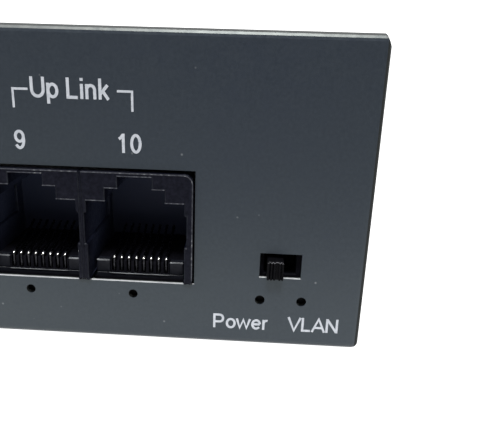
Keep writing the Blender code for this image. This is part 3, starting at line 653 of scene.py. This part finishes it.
def make_contacts(number):
    """A comb of teeth between two cheeks over a sill, with eight springs in its slots."""
    low, high = box_mm(f"contact_insert_{number}")
    centre, half = (low.x + high.x) / 2, (high.x - low.x) / 2
    front, base = low.y + COMB_SETBACK, low.z
    back = front + COMB_DEPTH
    ledge, slots = base + COMB_LEDGE, base + COMB_LOWER_BAR

    shape = bmesh.new()
    outline = teeth_outline(TEETH_HALF - TEETH_CLEAR, slots, ledge - TEETH_SETBACK)
    placed = [(centre + x, z) for x, z in outline]
    extrude(shape, placed, ALONG_Y, front + TEETH_SETBACK, back)
    # The teeth are in the near-black of painted shade.
    teeth = to_object(f"comb_teeth_{number}", shape, SHADED)
    fine_edges(teeth, width=0.05)
    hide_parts(f"contact_insert_{number}")
    for side, label in ((-1, "left"), (1, "right")):
        across = sorted((centre + side * TEETH_HALF, centre + side * half))
        block(f"comb_{label}_{number}", COMB, across, (front, back), (slots, ledge), edge=CHEEK_EDGE)
    across, along = (centre - half, centre + half), (front, back)
    block(f"comb_sill_{number}", COMB, across, along, (base, slots - HAIRLINE), edge=0.02)
    rib = (centre - TEETH_HALF + TEETH_CLEAR, centre + TEETH_HALF - TEETH_CLEAR)
    block(f"comb_rib_{number}", COMB, rib, (front - RIB_PROUD, front), (slots - RIB_HEIGHT, slots))
    along, rise = (back + HAIRLINE, high.y), (base + COMB_REAR_RISE, ledge - TEETH_SETBACK)
    # The block behind the teeth is in the near-black of painted shade.
    block(f"comb_rear_{number}", SHADED, across, along, rise)
    # Under the comb, a strip in the near-black of painted shade hides the board, where there is only
    # shade.
    shade_strip = (centre - half - SHADE_STRIP_WIDER, centre + half + SHADE_STRIP_WIDER)
    along, rise = (front, front + SHADE_STRIP_DEPTH), (base - SHADE_STRIP_DROP, base - SHADE_STRIP_GAP)
    block(f"comb_apron_{number}", SHADED, shade_strip, along, rise)

    wire_front, crest = front + WIRE_IN, ledge + CREST_RISE
    foot, end = slots + WIRE_START, (crest + high.z) / 2
    path = spring_path(wire_front, foot, crest, low.y + WIRE_REACH, end)
    for contact in range(CONTACTS):
        shape = bmesh.new()
        aside = Vector((centre + contact_x(contact), 0, 0))
        round_wire(shape, [at + aside for at in path], WIRE_RADIUS, WIRE_SIDES)
        wire = to_object(f"spring_{number}_{contact + 1}", shape, SPRING, smooth=60)
        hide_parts(f"contact_insert_{number}")


def spring_material():
    """The springs' metal, set out from the place of the first jack's springs."""
    low, _ = box_mm("contact_insert_1")
    return spring_metal(low.y + COMB_SETBACK + WIRE_IN, low.z + COMB_LEDGE + CREST_RISE)


SPRING = spring_material()


WEB_SETBACK = 0.1
WEB_DEPTH = 4.0
WEB_FOOT = 0.6
WEB_BELOW_TOP = 0.08


def make_seams():
    """The thin webs of plastic that close the joints between neighbouring jack housings."""
    plastic = MATERIALS["black_plastic"]
    for number in range(1, JACKS):
        if number + 1 == FIRST_UPLINK:
            continue
        (_, high), (low, _) = (box_mm(f"jack_housing_{n}") for n in (number, number + 1))
        across = (high.x + HAIRLINE, low.x - HAIRLINE)
        front = low.y + WEB_SETBACK
        rise = (low.z + WEB_FOOT, high.z - WEB_BELOW_TOP)
        block(f"jack_seam_{number}", plastic, across, (front, front + WEB_DEPTH), rise, edge=0.02)


# --- backing behind the seams of the case -----------------------------------------------
# In mm: where the seams are from the case's ends, how far in the strips sit, and their size.
SEAM_FROM_END = 8.15
SEAM_IN = 0.86
STRIP_THICK = 0.2
STRIP_LAP = 1.4
STRIP_SHORT = 0.9


def make_seam_strips():
    """Thin strips inside the sides, behind the seams between the tray's returns and the cover."""
    coat, slot = MATERIALS["charcoal_paint"], "charcoal_paint"
    rise = (FLOOR + STRIP_SHORT, TOP - STRIP_SHORT)
    for end, seam in (("front", FRONT + SEAM_FROM_END), ("rear", REAR - SEAM_FROM_END)):
        along = (seam - STRIP_LAP, seam + STRIP_LAP)
        for side, label in ((-1, "left"), (1, "right")):
            outer = side * (RIGHT - SEAM_IN)
            across = sorted((outer, outer - side * STRIP_THICK))
            block(f"seam_strip_{label}_{end}", coat, across, along, rise, edge=0.03)


# --- slide switch knob ------------------------------------------------------------------
# Where the ribs start and end from the knob's left side, in mm. The last rib is at its right side.
RIBS = ((0.0, 0.26), (0.44, 0.66), (0.84, 1.06), (1.5, 1.72))
LAST_RIB = 0.2
GROOVE_DEPTH = 0.32
GROOVE_TAPER = 0.03


def make_knob():
    """The knob with its ribbed face: a stepped profile seen from above, extruded in height."""
    low, high = box_mm("slide_switch_knob")
    face, groove = low.y, low.y + GROOVE_DEPTH
    outline = [(low.x, high.y)]
    for start, end in RIBS:
        if start > 0:
            outline.append((low.x + start - GROOVE_TAPER, groove))
        outline += [(low.x + start, face), (low.x + end, face), (low.x + end + GROOVE_TAPER, groove)]
    # The last groove's line runs on inside the last rib, and doubles back to where the rib starts.
    last = high.x - LAST_RIB
    outline += [(high.x - GROOVE_TAPER, groove), (last, groove), (last, face)]
    outline += [(high.x, face), (high.x, high.y)]
    shape = bmesh.new()
    extrude(shape, outline, ALONG_Z, low.z, high.z)
    knob = to_object("ribbed_knob", shape, KNOB, body="switch_knob")
    fine_edges(knob, width=0.07, segments=1)
    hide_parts("slide_switch_knob")


# --- printed legends --------------------------------------------------------------------
INK_THICKNESS = 0.02
STROKE = 0.15
STROKE_LIFT = 0.003
MITRE_LIMIT = 1.8
BRACKET_STROKE = 0.28
NUMBER_WIDTH = 1.38
NUMBER_WIDTHS = {1: 0.72, 10: 2.99}
NUMBER_SHIFT = -0.38
NUMBER_SHIFTS = {10: -0.56}


def arc(x, z, across, up, start, end, steps=12):
    """Points along part of an ellipse, between two angles in degrees from +X."""
    turns = [radians(start + (end - start) * k / steps) for k in range(steps + 1)]
    return [(x + across * cos(t), z + up * sin(t)) for t in turns]


def loop(x, z, across, up):
    return arc(x, z, across, up, 0, 345, 23)


# Each letter: its advance, its open strokes and its closed strokes, for a capital height of 1.
LETTERS = {
    " ": (0.36, [], []),
    "0": (0.75, [], [loop(0.36, 0.5, 0.235, 0.435)]),
    "1": (0.75, [[(0.41, 0), (0.41, 1)], [(0.17, 0.72), (0.28, 0.79), (0.38, 0.93)]], []),
    "2": (
        0.75,
        [[*arc(0.35, 0.69, 0.23, 0.245, 175, -35, 9), (0.3, 0.27), (0.13, 0.065), (0.61, 0.065)]],
        [],
    ),
    "3": (0.75, [arc(0.34, 0.72, 0.2, 0.215, 160, -95), arc(0.34, 0.285, 0.245, 0.22, 95, -165)], []),
    "4": (0.75, [[(0.48, 0), (0.48, 1)], [(0.45, 0.95), (0.1, 0.31)], [(0.05, 0.3), (0.65, 0.3)]], []),
    "5": (
        0.75,
        [[(0.57, 0.935), (0.21, 0.935), (0.14, 0.49), *arc(0.34, 0.33, 0.245, 0.265, 130, -165)]],
        [],
    ),
    "6": (0.75, [arc(0.37, 0.5, 0.26, 0.435, 195, 38)], [loop(0.36, 0.33, 0.235, 0.265)]),
    "7": (0.75, [[(0.09, 0.935), (0.58, 0.935), (0.41, 0.62), (0.31, 0.3), (0.28, 0)]], []),
    "8": (0.75, [], [loop(0.36, 0.735, 0.2, 0.2), loop(0.36, 0.285, 0.235, 0.22)]),
    "9": (0.75, [arc(0.34, 0.5, 0.26, 0.435, 15, -142)], [loop(0.35, 0.67, 0.235, 0.265)]),
    "A": (0.9, [[(0.03, 0), (0.45, 0.96), (0.87, 0)], [(0.19, 0.32), (0.71, 0.32)]], []),
    "L": (0.76, [[(0.13, 1), (0.13, 0.065), (0.67, 0.065)]], []),
    "N": (1.0, [[(0.13, 0), (0.13, 1)], [(0.14, 0.96), (0.79, 0.04)], [(0.8, 0), (0.8, 1)]], []),
    "P": (
        0.9,
        [[(0.13, 0), (0.13, 1)], [(0.13, 0.935), *arc(0.5, 0.69, 0.23, 0.245, 90, -90), (0.13, 0.445)]],
        [],
    ),
    "U": (0.97, [[(0.16, 1), *arc(0.49, 0.39, 0.33, 0.325, 180, 360), (0.82, 1)]], []),
    "V": (0.88, [[(0.03, 1), (0.44, 0.04), (0.85, 1)]], []),
    "e": (0.75, [arc(0.37, 0.36, 0.26, 0.3, 5, 322, 18), [(0.12, 0.37), (0.62, 0.37)]], []),
    "i": (0.32, [[(0.15, 0), (0.15, 0.72)], [(0.15, 0.86), (0.15, 1)]], []),
    "k": (0.68, [[(0.12, 0), (0.12, 1)], [(0.55, 0.7), (0.14, 0.27)], [(0.27, 0.42), (0.58, 0)]], []),
    "n": (0.74, [[(0.12, 0), (0.12, 0.72)], [*arc(0.34, 0.44, 0.22, 0.22, 180, 0), (0.56, 0)]], []),
    "o": (0.75, [], [loop(0.37, 0.36, 0.265, 0.3)]),
    "p": (0.75, [[(0.12, -0.28), (0.12, 0.72)]], [loop(0.375, 0.36, 0.25, 0.3)]),
    "r": (0.46, [[(0.12, 0), (0.12, 0.72)], arc(0.33, 0.43, 0.21, 0.23, 180, 72)], []),
    "w": (1.0, [[(0.03, 0.72), (0.25, 0.06), (0.48, 0.66), (0.71, 0.06), (0.93, 0.72)]], []),
}


def ribbon(shape, points, width, closed=False, face=FRONT, rise=INK_THICKNESS):
    """Adds a flat stroke along points (x, z) in mm that rises from a face, as a closed solid."""
    outer = face - rise
    count = len(points)
    line = [Vector(p) for p in points]
    rings = []
    for i, here in enumerate(line):
        arriving = leaving = None
        if closed or i > 0:
            arriving = (here - line[i - 1]).normalized()
        if closed or i < count - 1:
            leaving = (line[(i + 1) % count] - here).normalized()
        arriving, leaving = arriving or leaving, leaving or arriving  # at an open end, the same
        along = (arriving + leaving).normalized()
        aside = Vector((-along.y, along.x))
        reach = width / 2 * min(MITRE_LIMIT, 1 / max(0.1, along.dot(leaving)))
        left, right = here + aside * reach, here - aside * reach
        corners = ((left, outer), (right, outer), (right, face), (left, face))
        rings.append([shape.verts.new((at.x * MM, y * MM, at.y * MM)) for at, y in corners])
    for i in range(count if closed else count - 1):
        near, far = rings[i], rings[(i + 1) % count]
        for k in range(4):
            j = (k + 1) % 4
            shape.faces.new((near[k], near[j], far[j], far[k]))
    if not closed:
        shape.faces.new(reversed(rings[0]))
        shape.faces.new(rings[-1])


def legend(name, text, centre, baseline, cap_height, width):
    """Printed text on the front panel, in mm: its centre in X, its baseline and its size.

    Neighbouring strokes rise to slightly different heights, so that they don't flicker where they
    cross.
    """
    strokes, pen = [], 0.0
    for character in text:
        advance, lines, loops = LETTERS[character]
        for points, closed in [(line, False) for line in lines] + [(line, True) for line in loops]:
            strokes.append(([(pen + x, z) for x, z in points], closed))
        pen += advance
    xs = [x for points, _ in strokes for x, _ in points]
    thick = STROKE * cap_height
    squeeze = (width - thick) / max(max(xs) - min(xs), 0.01)
    middle = (max(xs) + min(xs)) / 2
    base = FLOOR + baseline
    shape = bmesh.new()
    for i, (points, closed) in enumerate(strokes):
        placed = [(centre + squeeze * (x - middle), base + cap_height * z) for x, z in points]
        ribbon(shape, placed, thick, closed, rise=INK_THICKNESS + i % 4 * STROKE_LIFT)
    to_object(name, shape, INK)


def bracket(name, outer, inner, foot, top):
    """A printed bracket: a level bar from outer to inner, with a leg down at its outer end."""
    shape = bmesh.new()
    points = [(outer, FLOOR + foot), (outer, FLOOR + top), (inner, FLOOR + top)]
    ribbon(shape, points, BRACKET_STROKE)
    to_object(name, shape, INK)


# The steps of the plug opening, in mm: where each starts and ends from the opening's middle, and
# its height above the housing's base. The last one spans the middle.
STEPS = ((6.33, 3.84, 11.51), (3.84, 2.2, 13.22), (2.2, -2.2, 14.8))
# The pale ridges that carry painted highlights on the housings, in mm.
HIGHLIGHT_WIDTH = 0.13
HIGHLIGHT_RISE = 0.03
HIGHLIGHT_FOOT = 1.0
CORNER = 1.2


def make_trims():
    """Thin pale ridges round the top of each housing and over the steps of its opening: painted
    highlights, with rubbed wear.
    """
    for number in range(1, JACKS + 1):
        low, high = box_mm(f"jack_housing_{number}")
        middle = port_x(number)
        inset = HIGHLIGHT_WIDTH / 2
        bend = CORNER - inset
        left, right, top = low.x + inset, high.x - inset, high.z - inset
        line = [(left, top), (right, top)]
        if number in (FIRST_UPLINK - 1, JACKS):
            corner = arc(high.x - CORNER, high.z - CORNER, bend, bend, 90, 0, 6)
            line = [(left, top), *corner, (right, low.z + HIGHLIGHT_FOOT)]
        if number in (1, FIRST_UPLINK):
            corner = arc(low.x + CORNER, high.z - CORNER, bend, bend, 180, 90, 6)
            line = [(left, low.z + HIGHLIGHT_FOOT), *corner, (right, top)]
        shape = bmesh.new()
        ribbon(shape, line, HIGHLIGHT_WIDTH, face=low.y, rise=HIGHLIGHT_RISE)
        for outer, inner, height in STEPS:
            level = low.z + height + inset
            for side in (-1, 1) if inner > 0 else (1,):
                ends = [(middle + side * outer, level), (middle + side * inner, level)]
                ribbon(shape, ends, HIGHLIGHT_WIDTH, face=low.y, rise=HIGHLIGHT_RISE)
        # The ridges are pale as painted highlights.
        to_object(f"jack_trim_{number}", shape, WEAR_HIGHLIGHT)


def make_legends():
    """The port numbers, the words and brackets over the uplinks, and the words at the switch."""
    for number in range(1, JACKS + 1):
        centre = port_x(number) + NUMBER_SHIFTS.get(number, NUMBER_SHIFT)
        width = NUMBER_WIDTHS.get(number, NUMBER_WIDTH)
        name = f"legend_port_{number}"
        legend(name, str(number), centre, baseline=26.03, cap_height=2.4, width=width)
    left, right = port_x(FIRST_UPLINK), port_x(JACKS)
    legend("legend_uplink", "Up Link", left + 6.28, baseline=32.47, cap_height=2.48, width=9.74)
    bracket("legend_bracket_left", outer=left - 0.76, inner=left + 1.11, foot=31.18, top=33.46)
    bracket("legend_bracket_right", outer=right - 0.12, inner=right - 1.95, foot=31.15, top=33.53)
    legend("legend_power", "Power", RIGHT - 16.01, baseline=2.37, cap_height=2.09, width=7.5)
    legend("legend_vlan", "VLAN", RIGHT - 6.39, baseline=2.42, cap_height=2.05, width=6.8)


# --- stage, light and camera ------------------------------------------------------------
# The camera's place from the case's top right front corner, in mm, and its turns in degrees.
CAMERA_AHEAD = 67.5
CAMERA_FROM_RIGHT = 16.0
CAMERA_ABOVE_TOP = -0.05
CAMERA_TILT = -18.09
CAMERA_PAN = 2.8
CAMERA_ROLL = 1.61
CAMERA_LENS = 40.33
CAMERA_SHIFT = 0.0608
CAMERA_SENSOR = 36.0
WORLD_BRIGHT_SIDE = (-0.4, 0.72, 0.56)
WORLD_DIM_FROM = -0.8
WORLD_BRIGHT_FROM = 0.5
WORLD_DIM = 0.15
WORLD_BRIGHT = 1.7


def make_world():
    """A white studio: bright above and behind the object, dim in front of it."""
    world = bpy.data.worlds.new("studio")
    world.use_nodes = True
    tree = world.node_tree
    coordinates = tree.nodes.new("ShaderNodeTexCoord")
    along = tree.nodes.new("ShaderNodeVectorMath")
    along.operation = "DOT_PRODUCT"
    along.inputs[1].default_value = WORLD_BRIGHT_SIDE
    span = tree.nodes.new("ShaderNodeMapRange")
    span.inputs["From Min"].default_value = WORLD_DIM_FROM
    span.inputs["From Max"].default_value = WORLD_BRIGHT_FROM
    falloff = tree.nodes.new("ShaderNodeMath")
    falloff.operation = "POWER"
    falloff.inputs[1].default_value = 2.0
    level = tree.nodes.new("ShaderNodeMapRange")
    level.inputs["To Min"].default_value = WORLD_DIM
    level.inputs["To Max"].default_value = WORLD_BRIGHT
    tree.links.new(coordinates.outputs["Generated"], along.inputs[0])
    tree.links.new(along.outputs["Value"], span.inputs["Value"])
    tree.links.new(span.outputs["Result"], falloff.inputs[0])
    tree.links.new(falloff.outputs["Value"], level.inputs["Value"])
    tree.links.new(level.outputs["Result"], tree.nodes["Background"].inputs["Strength"])
    tree.nodes["Background"].inputs["Color"].default_value = (1.0, 1.0, 1.0, 1.0)
    return world


def make_stage():
    bpy.ops.mesh.primitive_plane_add(size=8.0, location=(0, 0, 0))
    floor = bpy.context.object
    floor.name = "studio_floor"
    floor.data.materials.append(studio_floor())

    bpy.context.scene.world = make_world()


def area_light(name, at, aim, size, power):
    """A round lamp at one place aimed at another, in metres and watts."""
    light = bpy.data.lights.new(name, "AREA")
    light.shape = "DISK"
    light.size = size
    light.energy = power
    obj = bpy.data.objects.new(name, light)
    obj.location = at
    obj.rotation_euler = (Vector(aim) - Vector(at)).to_track_quat("-Z", "Y").to_euler()
    bpy.context.scene.collection.objects.link(obj)


def make_lights():
    area_light("overhead_light", at=(0.12, -0.02, 0.8), aim=(0.11, -0.09, 0.02), size=0.35, power=7.0)
    area_light("front_light", at=(0.12, -0.45, 0.64), aim=(0.12, -0.09, 0.02), size=0.2, power=4.5)


def make_camera():
    data = bpy.data.cameras.new("camera")
    data.lens = CAMERA_LENS
    data.sensor_width = CAMERA_SENSOR
    data.shift_x = CAMERA_SHIFT
    data.clip_start = 0.005
    data.clip_end = 20.0
    camera = bpy.data.objects.new("camera", data)
    at = Vector((RIGHT - CAMERA_FROM_RIGHT, FRONT - CAMERA_AHEAD, TOP + CAMERA_ABOVE_TOP)) * MM
    pan = Matrix.Rotation(radians(CAMERA_PAN), 4, "Z")
    tilt = Matrix.Rotation(radians(90 + CAMERA_TILT), 4, "X")
    roll = Matrix.Rotation(radians(CAMERA_ROLL), 4, "Z")
    camera.matrix_world = Matrix.Translation(at) @ pan @ tilt @ roll
    bpy.context.scene.collection.objects.link(camera)
    bpy.context.scene.camera = camera
    bpy.context.scene.view_settings.view_transform = "Standard"


for jack in range(1, JACKS + 1):
    make_contacts(jack)
make_seams()
make_seam_strips()
make_knob()
make_legends()
make_trims()
make_stage()
make_lights()
make_camera()
